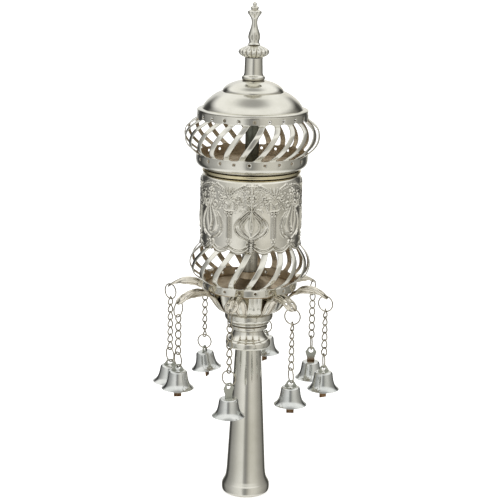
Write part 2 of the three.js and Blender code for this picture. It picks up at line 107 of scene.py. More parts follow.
finishes = {
    "polishedSilverPlate": {
        "colour": "#E8E6DD", "filmColour": "#DAD8CD", "filmMm": 38, "roughness": (0.1, 0.18),
        "waveMm": 16, "waveDepthMm": 0.16, "waveStrength": 0.3,
        "grainMm": 1.4, "grainDepthMm": 0.02, "grainStrength": 0.12,
        "hollow": "#B3AC9C", "hollowMm": 2.2},
    "chasedSilverPlate": {   # worked sheet, duller than the turned pieces, dark with painted shade and tarnish where the chasing is deep
        "colour": "#F0EDE3", "filmColour": "#DCD9CD", "filmMm": 22, "roughness": (0.12, 0.22),
        "waveMm": 9, "waveDepthMm": 0.12, "waveStrength": 0.35,
        "grainMm": 0.8, "grainDepthMm": 0.03, "grainStrength": 0.2,
        "hollow": "#5E574A", "hollowMm": 1.3},
    "castSilverPlate": {     # leaf arms: softer modelling with brown painted shade, partly dirt, in the hollows
        "colour": "#EAE5D8", "filmColour": "#D4CDBD", "filmMm": 14, "roughness": (0.12, 0.22),
        "waveMm": 6, "waveDepthMm": 0.12, "waveStrength": 0.35,
        "grainMm": 0.8, "grainDepthMm": 0.03, "grainStrength": 0.2,
        "hollow": "#6E5A43", "hollowMm": 1.8},
    "brightNickelPlate": {   # cooler and glassier than silver
        "colour": "#E3E4E1", "filmColour": "#CFD2D0", "filmMm": 14, "roughness": (0.09, 0.17),
        "waveMm": 7, "waveDepthMm": 0.12, "waveStrength": 0.4,
        "grainMm": 1.0, "grainDepthMm": 0.02, "grainStrength": 0.1,
        "hollow": "#777A76", "hollowMm": 2.0},
    "drawnSilverWire": {
        "colour": "#BFB9A8", "filmColour": "#8F8775", "filmMm": 5, "roughness": (0.22, 0.36),
        "waveMm": 3, "waveDepthMm": 0.05, "waveStrength": 0.3,
        "grainMm": 0.6, "grainDepthMm": 0.02, "grainStrength": 0.2,
        "hollow": "#4A4234", "hollowMm": 1.4},
    "rawInnerBrass": {       # unplated inner sheet, tan and matt
        "colour": "#D8C8AE", "filmColour": "#BBA98C", "filmMm": 9, "roughness": (0.42, 0.6),
        "waveMm": 8, "waveDepthMm": 0.15, "waveStrength": 0.4,
        "grainMm": 0.7, "grainDepthMm": 0.05, "grainStrength": 0.35,
        "hollow": "#A08C6C", "hollowMm": 3.0},
    # painted shade: the tube inside the upper cage is coloured dark grey-green for the shade it stands in,
    # while the lower tube keeps a lighter finish
    "shadedTubeSteel": {
        "colour": "#7C7F74", "filmColour": "#56594F", "filmMm": 12, "roughness": (0.3, 0.44),
        "waveMm": 10, "waveDepthMm": 0.1, "waveStrength": 0.3,
        "grainMm": 0.8, "grainDepthMm": 0.03, "grainStrength": 0.25,
        "hollow": "#3C3D36", "hollowMm": 3.0},
    "dullTubeSilver": {
        "colour": "#C9C7BC", "filmColour": "#A9A698", "filmMm": 12, "roughness": (0.24, 0.36),
        "waveMm": 10, "waveDepthMm": 0.1, "waveStrength": 0.3,
        "grainMm": 0.8, "grainDepthMm": 0.03, "grainStrength": 0.25,
        "hollow": "#77705F", "hollowMm": 3.0},
    "giltSilverPlate": {     # the plate is thin on the neck ring and lets the brass show
        "colour": "#EFE5C6", "filmColour": "#DDD2AC", "filmMm": 12, "roughness": (0.14, 0.24),
        "waveMm": 12, "waveDepthMm": 0.1, "waveStrength": 0.3,
        "grainMm": 0.9, "grainDepthMm": 0.02, "grainStrength": 0.15,
        "hollow": "#BFAF84", "hollowMm": 2.0},
    "wornCopper": {
        "colour": "#A98A6A", "filmColour": "#6A5039", "filmMm": 4, "roughness": (0.3, 0.46),
        "waveMm": 4, "waveDepthMm": 0.08, "waveStrength": 0.4,
        "grainMm": 0.6, "grainDepthMm": 0.03, "grainStrength": 0.3,
        "hollow": "#3F2D1E", "hollowMm": 1.6},
}
metals = {name: platedMetal(name, look) for name, look in finishes.items()}
silver = metals["polishedSilverPlate"]
chased = metals["chasedSilverPlate"]
castSilver = metals["castSilverPlate"]
nickel = metals["brightNickelPlate"]
wireSilver = metals["drawnSilverWire"]
innerBrass = metals["rawInnerBrass"]
print("materials made:", len(metals))


def ringPoint(radius, angle, height):
    turn = np.radians(angle)
    return np.stack(np.broadcast_arrays(radius * np.sin(turn), -radius * np.cos(turn), height), -1)


def smoothLine(points, steps=6):
    # runs evenly through the given points
    p = np.array(points, float)
    p = np.vstack([2 * p[0] - p[1], p, 2 * p[-1] - p[-2]])
    line = []
    for a, b, c, d in zip(p, p[1:], p[2:], p[3:]):
        for t in np.linspace(0, 1, steps, endpoint=False):
            line.append(0.5 * (2 * b + (c - a) * t + (2 * a - 5 * b + 4 * c - d) * t ** 2
                               + (3 * b - a - 3 * c + d) * t ** 3))
    return np.array(line + [p[-2]])


def gridFaces(rows, columns, closeRows=False, closeColumns=False):
    faces = []
    for i in range(rows if closeRows else rows - 1):
        for j in range(columns if closeColumns else columns - 1):
            k, m = (i + 1) % rows, (j + 1) % columns
            faces.append((i * columns + j, i * columns + m, k * columns + m, k * columns + j))
    return faces


def addPiece(name, points, faces, material, nodes, slotName, crease=38, inner=None, level=None):
    mesh = bpy.data.meshes.new(name)
    mesh.from_pydata((np.array(points, float) / 1000).tolist(), [], [tuple(f) for f in faces])
    if level is not None:
        mesh.attributes.new("level", "FLOAT", "POINT").data.foreach_set("value", level)
    shape = bmesh.new()
    shape.from_mesh(mesh)
    bmesh.ops.remove_doubles(shape, verts=shape.verts, dist=2e-6)
    bmesh.ops.recalc_face_normals(shape, faces=shape.faces)
    shape.to_mesh(mesh)
    shape.free()
    mesh.shade_smooth()
    mesh.set_sharp_from_angle(angle=math.radians(crease))
    mesh.materials.append(material)
    if inner:
        mesh.materials.append(inner)
    piece = bpy.data.objects.new(name, mesh)
    scene.collection.objects.link(piece)
    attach(piece, "root")
    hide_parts(*nodes)
    return piece


def spun(outline, facets, bend=None):
    # a closed outline of radius and height, turned round the axis; bend changes the radius by angle
    angles = np.arange(facets) * 360 / facets
    r = np.array([p[0] for p in outline])[:, None] + 0 * angles
    z = np.array([p[1] for p in outline])[:, None] + 0 * angles
    if bend:
        r = bend(r, z, angles[None, :] + 0 * r)
    points = ringPoint(r, angles[None, :], z).reshape(-1, 3)
    return points, gridFaces(len(outline), facets, True, True)


def joined(shapes):
    points, faces, base = [], [], 0
    for shapePoints, shapeFaces in shapes:
        points.extend(np.asarray(shapePoints).tolist())
        faces.extend(tuple(v + base for v in face) for face in shapeFaces)
        base += len(shapePoints)
    return points, faces


def sweptWire(line, radius, sides=8, closed=True):
    # round wire along a line of points, its section carried without twist
    p = np.array(line, float)
    count = len(p)
    along = np.roll(p, -1, 0) - np.roll(p, 1, 0)
    if not closed:
        along[0], along[-1] = p[1] - p[0], p[-1] - p[-2]
    along /= np.linalg.norm(along, axis=1)[:, None]
    side = np.cross(along[0], [0.3, 0.2, 0.93])
    frames = []
    for step in along:
        side = side - step * side.dot(step)
        side /= np.linalg.norm(side)
        frames.append((side, np.cross(step, side)))
    slip = 0
    if closed:
        back = frames[-1][0] - along[0] * frames[-1][0].dot(along[0])
        slip = math.atan2(back.dot(frames[0][1]), back.dot(frames[0][0]))
    points = []
    for i, (u, v) in enumerate(frames):
        for k in range(sides):
            turn = 2 * math.pi * k / sides - slip * i / count
            points.append(p[i] + radius * (math.cos(turn) * u + math.sin(turn) * v))
    return points, gridFaces(count, sides, closed, True)


# handle: seamed tapering tube with a rolled foot
handleShape = {
    "foot": [(16.8, 0), (18.3, 1.4), (18.7, 4.0), (18.4, 7.0), (17.3, 9.3), (15.9, 12.6), (15.1, 18.0)],
    "top": (9.9, 118.1),
    "inside": [(0, 118.1), (0, 116.5), (8.8, 116.5), (14.0, 18), (14.7, 12.4), (17.2, 5.0), (15.9, 0.2)],
    "facets": 144,
}
foot = smoothLine(handleShape["foot"], 6)
shaft = np.linspace(foot[-1], handleShape["top"], 24)[1:]
outline = [*foot, *shaft, *handleShape["inside"]]
addPiece("handleTube", *spun(outline, handleShape["facets"]), silver, ["handle"], "silver")

# collar: bead, flared body, narrow ring, thin ring and the cushion ring under the cup
collarShape = {
    "bead": [(15.9, 118.4), (17.1, 119.4), (17.5, 121.4), (17.1, 123.4), (16.0, 124.7), (15.4, 124.9)],
    "body": [(15.2, 125.3), (13.6, 127.0), (12.1, 129.4), (11.3, 131.8)],
    "ring": [(11.6, 132.3), (13.9, 132.9), (14.6, 134.0), (14.3, 135.4), (12.9, 136.4)],
    "thinRing": [(12.9, 136.8), (15.2, 137.0), (15.8, 137.8), (15.3, 138.7)],
    "cushion": [(15.5, 139.1), (17.3, 139.9), (18.3, 141.4), (18.55, 143.0), (18.3, 144.7), (17.3, 146.1)],
    "inside": [(7.0, 146.1), (7.0, 145.2), (15.6, 144.6), (11.8, 138.0), (10.3, 132.0), (13.6, 125.0),
               (7.0, 119.4), (7.0, 118.4)],
    "facets": 144,
}
outline = []
for part in ("bead", "body", "ring", "thinRing", "cushion"):
    outline.extend(smoothLine(collarShape[part], 5))
outline.extend(collarShape["inside"])
addPiece("collarRings", *spun(outline, collarShape["facets"]), silver, ["collar"], "silver")
print("handle and collar made")

# the eight arms and their hanging sets: angle, radius and height of the eye, links, lug, faces of the top
# ring, end ring and tongue, lean
sets = {
    "a": (-103, 62.5, 162.4, 7, "short", -132, 35, 10, -4),
    "b": (-58, 61.8, 161.0, 5, "short", -30, 31, 6, 0),
    "c": (-146, 63.0, 162.4, 7, "short", -170, 72, 70, 7),
    "d": (-13, 60.4, 161.6, 6, "long", -13, 62, 34, 0),
    "e": (167, 60.0, 162.4, 5, "short", 167, 70, 50, 0),
    "f": (32, 60.4, 162.2, 6, "short", 72, 17, 0, 0),
    "g": (124, 60.4, 162.4, 6, "long", 158, 5, 0, 0),
    "h": (77, 59.5, 162.2, 6, "short", 62, 5, 28, 0),
}
setShape = {
    "ringWire": 0.5, "topRing": 5.9, "endRing": 5.6, "pitch": 6.05, "link": 7.1, "linkWidth": 5.2,
    "linkWire": 0.54, "bite": 1.9, "crown": {"short": 1.9, "long": 8.6},
}

# calyx: fluted cup whose eight leaf arms rise along it, arch over and end in pierced tips
calyxShape = {
    "cup": [(18.2, 146.5), (21.4, 147.6), (24.4, 149.7), (27.0, 153.4), (28.9, 158.2), (30.2, 163.6)],
    "cupSheet": 1.0,
    "flutes": 24,
    "fluteDepth": 0.035,
    "firstArm": -13,
}
armShape = {
    "spine": [(19.4, 147.5), (23.2, 149.9), (26.4, 153.6), (29.4, 158.0), (32.8, 162.2), (36.7, 164.8),
              (39.6, 167.4), (44.6, 168.8), (51.4, 168.1), (57.0, 165.2), (60.2, 163.0), (62.2, 161.3)],
    "reach": 60.4, "eye": 162.4, "sheet": 0.8,
    # by share of the arm's length: width, and depth of the turned-down sides
    "width": [(0, 6.5), (0.16, 9.4), (0.3, 10.4), (0.42, 8.6), (0.5, 7.8), (0.7, 7.6), (0.78, 8.6),
              (0.86, 10.6), (0.92, 10.2), (0.97, 8.0), (1, 4.6)],
    "depth": [(0, 1.3), (0.3, 1.5), (0.44, 1.9), (0.52, 3.6), (0.62, 4.6), (0.74, 4.2), (0.82, 2.6),
              (0.88, 1.3), (1, 1.2)],
    # holes in the tip: share of the length and of the half width, and their half sizes
    "holes": [(0.855, 0.4, 0.026, 0.17), (0.855, -0.4, 0.026, 0.17), (0.955, 0.0, 0.024, 0.26)],
}


def leafArm(arm, reach, eye, shape):
    spine = smoothLine(shape["spine"], 10)
    run = np.concatenate([[0], np.cumsum(np.linalg.norm(np.diff(spine, axis=0), axis=1))])
    rows, columns = 130, 41
    share = np.linspace(0, 1, rows)
    r = np.interp(share * run[-1], run, spine[:, 0])
    z = np.interp(share * run[-1], run, spine[:, 1])
    slope = np.arctan2(np.gradient(z), np.gradient(r))[:, None]
    half = np.interp(share, *zip(*shape["width"]))[:, None] / 2
    depth = np.interp(share, *zip(*shape["depth"]))[:, None]
    s, v = np.meshgrid(share, np.linspace(-1, 1, columns), indexing="ij")
    # across the arm: ridged top to |v| 0.7, rounded corner to 0.8, then the side turned down
    top = np.clip(np.abs(v) / 0.7, 0, 1)
    corner = np.radians(90 * np.clip((np.abs(v) - 0.7) / 0.1, 0, 1))
    side = np.sign(v) * (top * (half - 0.7) + 0.7 * np.sin(corner))
    fall = np.clip((np.abs(v) - 0.8) / 0.2, 0, 1)
    lift = -0.3 * top ** 2 - 0.7 * (1 - np.cos(corner)) - fall * (depth - 1.0)
    tip = np.clip((s - 0.76) / 0.05, 0, 1)
    ridges = 0.3 * np.cos(2 * np.pi * top) * (top < 1) * np.clip(s / 0.1, 0, 1)
    rim = 0.5 * np.exp(-((top - 0.88) / 0.14) ** 2) + 0.45 * np.exp(-(top / 0.16) ** 2)
    lift += (1 - tip) * ridges + tip * (rim - 0.35)
    # a groove runs along each side under its edge
    groove = 0.3 * (1 - tip) * np.clip((depth - 1.6) / 2, 0, 1) * np.cos(4 * np.pi * fall)
    side += np.sign(v) * groove * (fall > 0)
    radius = r[:, None] - lift * np.sin(slope)
    height = z[:, None] + lift * np.cos(slope)
    bend = np.clip((radius - 37) / (shape["reach"] - 37), 0, 1)
    radius, height = radius + bend * (reach - shape["reach"]), height + bend * (eye - shape["eye"])
    turn = math.radians(arm)
    across = np.array([math.cos(turn), math.sin(turn), 0])
    points = ringPoint(radius, arm, height) + side[..., None] * across
    faces = []
    for i, j, k, m in gridFaces(rows, columns):
        row, column = divmod(i, columns)
        cs, cv = share[row] + 0.5 / rows, (column + 0.5) * 2 / (columns - 1) - 1
        if all(((cs - a) / c) ** 2 + ((cv - b) / d) ** 2 > 1 for a, b, c, d in shape["holes"]):
            faces.append((i, j, k, m))
    return points.reshape(-1, 3), faces


cup = smoothLine(calyxShape["cup"], 6)
inside = [(r - calyxShape["cupSheet"], z + 0.4) for r, z in cup[::-1]]


def cupFlutes(r, z, angle):
    share = np.clip((z - 147.5) / 8, 0, 1)
    wave = np.cos(np.radians(calyxShape["flutes"] * (angle - calyxShape["firstArm"])))
    return r * (1 + calyxShape["fluteDepth"] * share * (0.5 * wave + 0.25 * np.abs(wave)))


addPiece("calyxCup", *spun([(6.4, 146.5), *cup, *inside, (6.4, 147.4)], 288, cupFlutes),
         silver, ["calyx"], "silver", inner=innerBrass)
for i, (arm, reach, eye, *_) in enumerate(sets.values()):
    leaf = addPiece(f"leafArm{i + 1}", *leafArm(arm, reach, eye, armShape),
                    castSilver, ["calyx"], "silver", crease=60)
    thick = leaf.modifiers.new("sheet", "SOLIDIFY")
    thick.thickness = armShape["sheet"] / 1000
    thick.offset = -1
print("calyx made")


# cages: one pierced sheet each, two bands joined by slats that lean to the right
def cageSheet(shape):
    pitch = 360 / shape["slats"]
    first = shape["firstGap"] - pitch / 2
    middle = smoothLine([shape["low"][-1], *shape["bulge"], shape["high"][0]], 5)[1:-1]
    foot, head = shape["low"][-1][1], shape["high"][0][1]
    points, faces, index = [], [], {}

    def put(key, r, angle, z):
        if key not in index:
            index[key] = len(points)
            points.append(ringPoint(r, angle, z).tolist())
        return index[key]

    def bandColumns(r):
        # angles across one slat and the gap after it, the hole's columns in the gap's middle
        half = math.degrees(shape["slatWidth"] / 2 / r)
        slat = [half * v for v in (-1, -0.6, -0.2, 0.2, 0.6, 1)]
        hole = math.degrees(shape["hole"] / r)
        middle = pitch / 2
        gapLine = [half + (middle - half - hole) * 0.45, middle - hole, middle, middle + hole]
        return slat + gapLine + [pitch - half - (middle - half - hole) * 0.45]

    columns = 11
    for part, lean in (("low", 0), ("high", shape["lean"])):
        band = shape[part]
        rows = len(band)
        holeRow = shape["holeRow"][part]
        for n in range(shape["slats"]):
            for i in range(rows - 1):
                for j in range(columns):
                    if holeRow and i in (holeRow - 1, holeRow) and j in (7, 8):
                        continue
                    corners = []
                    for di, dj in ((0, 0), (0, 1), (1, 1), (1, 0)):
                        m, c = (n, j + dj) if j + dj < columns else ((n + 1) % shape["slats"], 0)
                        r, z = band[i + di]
                        angle = bandColumns(r)[c]
                        if holeRow and abs(i + di - holeRow) == 1 and c in (7, 9):
                            z = band[holeRow][1] + 0.707 * (z - band[holeRow][1])
                            angle = pitch / 2 + 0.707 * (angle - pitch / 2)
                        # the gap's end is a shallow scallop between the slats
                        edge = (part == "low" and i + di == rows - 1) or (part == "high" and i + di == 0)
                        if edge and c > 5:
                            dip = shape["scallop"] * (1 - abs(c - 8) / 4) + 0.3
                            z += -dip if part == "low" else dip
                        corners.append(put((part, m, i + di, c), r, first + m * pitch + lean + angle, z))
                    faces.append(corners)
    for n in range(shape["slats"]):
        steps = len(middle) + 1
        for i in range(steps):
            for j in range(5):
                corners = []
                for di, dj in ((0, 0), (0, 1), (1, 1), (1, 0)):
                    row, c = i + di, j + dj
                    if row == 0:
                        corners.append(index[("low", n, len(shape["low"]) - 1, c)])
                    elif row == steps:
                        corners.append(index[("high", n, 0, c)])
                    else:
                        r, z = middle[row - 1]
                        share = (z - foot) / (head - foot)
                        half = math.degrees(shape["slatMiddle"] / 2 / r)
                        v = (-1, -0.6, -0.2, 0.2, 0.6, 1)[c]
                        crown = shape["crown"] * (1 - v * v)
                        angle = first + n * pitch + shape["lean"] * share + v * half
                        corners.append(put(("slat", n, row, c), r + crown, angle, z))
                faces.append(corners)
    return points, faces


def addCage(name, shape, node):
    cage = addPiece(name, *cageSheet(shape), silver, [node], "silver", crease=60, inner=innerBrass)
    thick = cage.modifiers.new("sheet", "SOLIDIFY")
    thick.thickness = shape["sheet"] / 1000
    thick.offset = -1
    thick.material_offset = 1
    thick.material_offset_rim = 0
    smooth = cage.modifiers.new("smooth", "SUBSURF")
    smooth.levels = smooth.render_levels = 1
    return cage


lowerCageShape = {
    "low": [(35.9, 165.5), (36.0, 166.2), (36.2, 167.5), (36.35, 168.5), (36.5, 169.5), (36.7, 171.0),
            (37.2, 172.2)],
    "bulge": [(41.0, 174.8), (44.0, 178.0), (45.8, 183.4), (45.2, 188.8), (43.0, 193.2), (38.9, 198.0)],
    "high": [(36.3, 200.4), (36.2, 203.4), (36.2, 206.8)],
    "holeRow": {"low": 3, "high": 0},
    "slats": 19, "slatWidth": 5.5, "slatMiddle": 5.0, "firstGap": 7.4, "lean": 20,
    "hole": 1.0, "scallop": 0.5, "crown": 0.12, "sheet": 0.75,
}
upperCageShape = {
    "low": [(37.5, 258.2), (39.4, 258.9), (41.2, 260.6), (41.9, 262.6), (42.0, 264.7), (42.0, 265.7),
            (42.05, 266.7), (42.1, 268.0), (42.4, 268.9)],
    "bulge": [(44.2, 270.3), (47.3, 273.1), (49.8, 277.2), (50.8, 282.2), (49.6, 287.6), (46.6, 291.0),
              (43.4, 293.4)],
    "high": [(41.8, 294.4), (41.5, 295.9), (41.5, 297.0), (41.5, 298.1), (41.3, 300.6)],
    "holeRow": {"low": 5, "high": 2},
    "slats": 23, "slatWidth": 5.4, "slatMiddle": 4.8, "firstGap": -2.4, "lean": 20,
    "hole": 1.05, "scallop": 0.5, "crown": 0.12, "sheet": 0.75,
}
addCage("lowerCageSheet", lowerCageShape, "lower_cage")
addCage("upperCageSheet", upperCageShape, "upper_cage")

# rivets in the upper band: one in each hole, the one at the front seam larger
rivetShape = {"height": 297.0, "radius": 0.82, "seat": 41.0, "rise": 0.55}


def rivet(angle, height, radius, seat, rise):
    turns = np.arange(12) * 30
    rings = [(1.0, 0), (0.94, 0.5), (0.7, 0.8), (0.35, 0.96), (0.0, 1.0)]
    out = np.array([math.sin(math.radians(angle)), -math.cos(math.radians(angle)), 0])
    across = np.array([math.cos(math.radians(angle)), math.sin(math.radians(angle)), 0])
    points = []
    for size, lift in rings:
        for turn in np.radians(turns):
            points.append(out * (seat + rise * lift) + across * radius * size * math.cos(turn)
                          + np.array([0, 0, height + radius * size * math.sin(turn)]))
    return points, gridFaces(len(rings), 12, False, True)


rivetStart = upperCageShape["firstGap"] + upperCageShape["lean"]
rivets = [rivet(rivetStart + 360 / 23 * k, *rivetShape.values()) for k in range(22)]
rivets.append(rivet(rivetStart - 360 / 23, 297.0, 1.5, 41.6, 0.8))
addPiece("bandRivets", *joined(rivets), wireSilver, ["upper_cage"], "silver")
# the band's ends overlap at the front under the large rivet
lap = [(41.4, 294.7), (42.0, 294.9), (42.0, 299.5), (41.4, 299.7)]
points = [ringPoint(r, angle, z) for angle in np.linspace(-2.4, 6.4, 9) for r, z in lap]
addPiece("bandLap", points, [*gridFaces(9, 4, False, True), (0, 1, 2, 3), (35, 34, 33, 32)],
         silver, ["upper_cage"], "silver")

# floors, lining tube and neck
floorShape = [(0, 172.6), (6.0, 172.6), (20.0, 165.0), (35.2, 164.8), (35.2, 165.8), (20.4, 166.1),
              (8.4, 173.0), (6.6, 177.7), (0, 177.7)]
addPiece("lowerFloorPlate", *spun(floorShape, 96), innerBrass, ["lower_floor"], "floor_sheet")
tubeShape = {"low": 5.9, "high": 5.2, "foot": 178.0, "step": 257.6, "head": 299.6, "wall": 1.0}
t = tubeShape
middle = t["step"] - 4
outline = [(t["low"], t["foot"]), (t["low"], middle), (t["low"] - t["wall"], middle),
           (t["low"] - t["wall"], t["foot"])]
addPiece("tubeLow", *spun(outline, 64), metals["dullTubeSilver"], ["centre_tube"], "tube_steel")
outline = [(t["low"], middle), (t["low"], t["step"]), (t["high"], t["step"] + 0.8), (t["high"], t["head"]),
           (t["high"] - t["wall"], t["head"]), (t["high"] - t["wall"], t["step"] + 0.6),
           (t["low"] - t["wall"], t["step"] - 0.4), (t["low"] - t["wall"], middle)]
# the upper tube takes the darker finish, painted shade for the inside of the upper cage
addPiece("tubeHigh", *spun(outline, 64), metals["shadedTubeSteel"], ["centre_tube"], "tube_steel")
neckShape = {
    "ring": [(35.4, 254.2), (36.6, 254.5), (37.0, 255.4), (36.7, 256.5), (35.7, 257.0)],
    "cove": [(36.3, 257.2), (36.0, 257.8), (36.1, 258.5), (36.8, 259.4)],
}
outline = [*smoothLine(neckShape["ring"], 5), (35.4, 257.1), (33.2, 257.1), (33.2, 254.2)]
addPiece("neckRing", *spun(outline, 144), metals["giltSilverPlate"], ["neck"], "silver")
outline = [*smoothLine(neckShape["cove"], 5), (37.4, 260.1), (33.2, 260.1), (33.2, 257.3)]
addPiece("neckCove", *spun(outline, 144), silver, ["neck"], "silver")
outline = [(6.3, 260.2), (38.4, 260.2), (38.6, 260.6), (38.4, 261.3), (6.3, 261.2)]
addPiece("upperFloorPlate", *spun(outline, 96), innerBrass, ["neck"], "floor_sheet")
print("cages, floors and neck made")

# dome, post, turban and spire
domeShape = {
    "rim": [(40.6, 300.4), (41.5, 300.6), (41.3, 301.3), (40.2, 301.8), (38.2, 302.1)],
    "lower": [(37.7, 302.0), (37.0, 303.5), (35.8, 305.5), (34.0, 307.7), (31.5, 310.0), (28.2, 312.4),
              (24.2, 314.4)],
    "upper": [(22.9, 314.6), (22.5, 315.9), (21.2, 317.6), (18.8, 319.4), (15.5, 321.0), (11.8, 322.2),
              (8.0, 323.0)],
    "inside": [(0, 323.0), (0, 321.8), (14.8, 319.6), (22.2, 314.2), (31.2, 308.6), (36.4, 300.4)],
}
outline = []
for part in ("rim", "lower", "upper"):
    outline.extend(smoothLine(domeShape[part], 6))
outline.extend(domeShape["inside"])
addPiece("domeTiers", *spun(outline, 192), silver, ["dome"], "silver", crease=28)

postShape = {
    "foot": [(8.2, 323.3), (8.7, 324.4), (8.5, 325.5), (7.4, 326.6), (6.9, 328.2)],
    "top": [(6.6, 338.4), (6.9, 339.3)],
    "inside": [(4.6, 339.3), (4.6, 323.3)],
}
outline = [*smoothLine(postShape["foot"], 5), *postShape["top"], *postShape["inside"]]
addPiece("postTube", *spun(outline, 72), silver, ["post"], "silver")

turbanShape = {
    "outline": [(0, 339.6), (6.8, 339.6), (9.6, 341.0), (11.2, 342.8), (11.4, 343.9), (10.4, 345.6),
                (8.0, 347.1), (5.4, 348.1), (4.3, 348.8)],
    "lobes": 16, "depth": 0.12,
}


def turbanLobes(r, z, angle):
    share = np.clip((r - 4.6) / 4.5, 0, 1)
    lobe = np.abs(np.cos(np.radians(turbanShape["lobes"] / 2 * angle)))
    return r * (1 - turbanShape["depth"] * share * (1 - np.sqrt(lobe)))


outline = [*smoothLine(turbanShape["outline"][1:], 5), (0, 348.8), (0, 339.6)]
addPiece("turbanKnob", *spun(outline, 256, turbanLobes), silver, ["turban"], "silver")

spireShape = {
    "outline": [(4.8, 349.1), (3.7, 350.6), (4.0, 352.4), (4.5, 354.4), (4.1, 357.0), (3.1, 360.0),
                (2.4, 362.4), (2.1, 365.4), (2.6, 368.0), (3.9, 370.2), (5.1, 371.8), (5.0, 373.1),
                (3.6, 374.0), (2.6, 374.6), (3.1, 375.8), (2.3, 376.8), (1.3, 377.5), (1.6, 378.6),
                (0.9, 379.7), (0, 380.0)],
    "flutes": 8, "depth": 0.16,
}


def spireFlutes(r, z, angle):
    share = np.exp(-((z - 354.4) / 2.6) ** 2) + np.exp(-((z - 371.6) / 1.7) ** 2)
    lobe = np.abs(np.cos(np.radians(spireShape["flutes"] / 2 * angle)))
    return r * (1 - spireShape["depth"] * np.clip(share, 0, 1) * (1 - lobe))


outline = [*smoothLine(spireShape["outline"], 5), (0, 349.1)]
addPiece("spireCast", *spun(outline, 96, spireFlutes), silver, ["spire"], "silver")
print("dome and spire made")

# drum: embossed sheet; the relief is worked out over half a panel and mirrored
drumShape = {
    "radius": 37.6, "mouth": 33.4, "sheet": 0.9, "top": 253.9, "shoulder": 249.9,
    "cusp": 204.4, "step": 2.8, "drop": 4.4,
    "panels": 7, "firstPanel": 1, "across": 96, "up": 136, "relief": 1.35,
    "kinds": "onion pear onion pear pear onion pear".split(),
}


def nearPath(x, z, path):
    # distance to a line of points, and how far along it the nearest point is
    best, along, run = np.full(x.shape, 1e9), np.zeros(x.shape), 0.0
    for (ax, az), (bx, bz) in zip(path[:-1], path[1:]):
        dx, dz = bx - ax, bz - az
        length = math.hypot(dx, dz)
        t = np.clip(((x - ax) * dx + (z - az) * dz) / length ** 2, 0, 1)
        away = np.hypot(x - ax - t * dx, z - az - t * dz)
        along = np.where(away < best, run + t * length, along)
        best = np.minimum(best, away)
        run += length
    return best, along


def raised(x, z, path, width, height, twist=0):
    # rounded wire along the path, cut like rope when twist gives its turn in mm
    away, along = nearPath(x, z, path)
    body = height * np.sqrt(np.clip(1 - (away / (width / 2)) ** 2, 0, 1))
    return body * (0.45 + 0.55 * np.abs(np.sin(np.pi * along / twist))) if twist else body


def balls(x, z, places, radius, height):
    relief = np.zeros(x.shape)
    for a, b in places:
        away = np.hypot(x - a, z - b) / radius
        relief = np.maximum(relief, height * np.sqrt(np.clip(1 - away ** 2, 0, 1)))
    return relief


def flower(centre, spread, petals, start=90):
    a, b = centre
    turns = [math.radians(start + 360 * k / petals) for k in range(petals)]
    return [(a, b)] + [(a + spread * math.cos(t), b + spread * math.sin(t)) for t in turns]


def leafPath(start, end, bow):
    # arc from start to end, bowed sideways
    (ax, az), (bx, bz) = start, end
    nx, nz = -(bz - az), bx - ax
    line = [(t, 4 * bow * t * (1 - t)) for t in np.linspace(0, 1, 9)]
    return [(ax + (bx - ax) * t + nx * out, az + (bz - az) * t + nz * out) for t, out in line]


def spiral(centre, radius, start, turns):
    a, b = centre
    return [(a + radius * (1 - 0.78 * t) * math.cos(math.radians(start + 360 * turns * t)),
             b + radius * (1 - 0.78 * t) * math.sin(math.radians(start + 360 * turns * t)))
            for t in np.linspace(0, 1, 22)]


def scallopAt(x, half):
    share = np.abs(x) / half
    return drumShape["cusp"] - drumShape["step"] * share - drumShape["drop"] * np.abs(np.sin(np.pi * share))


def drumEdge(x, half):
    # a small flower hangs on a tab between the scallops
    tab = 199.4 + 5.4 * (np.abs(x) / 2.6) ** 2
    return np.minimum(scallopAt(x, half), tab)


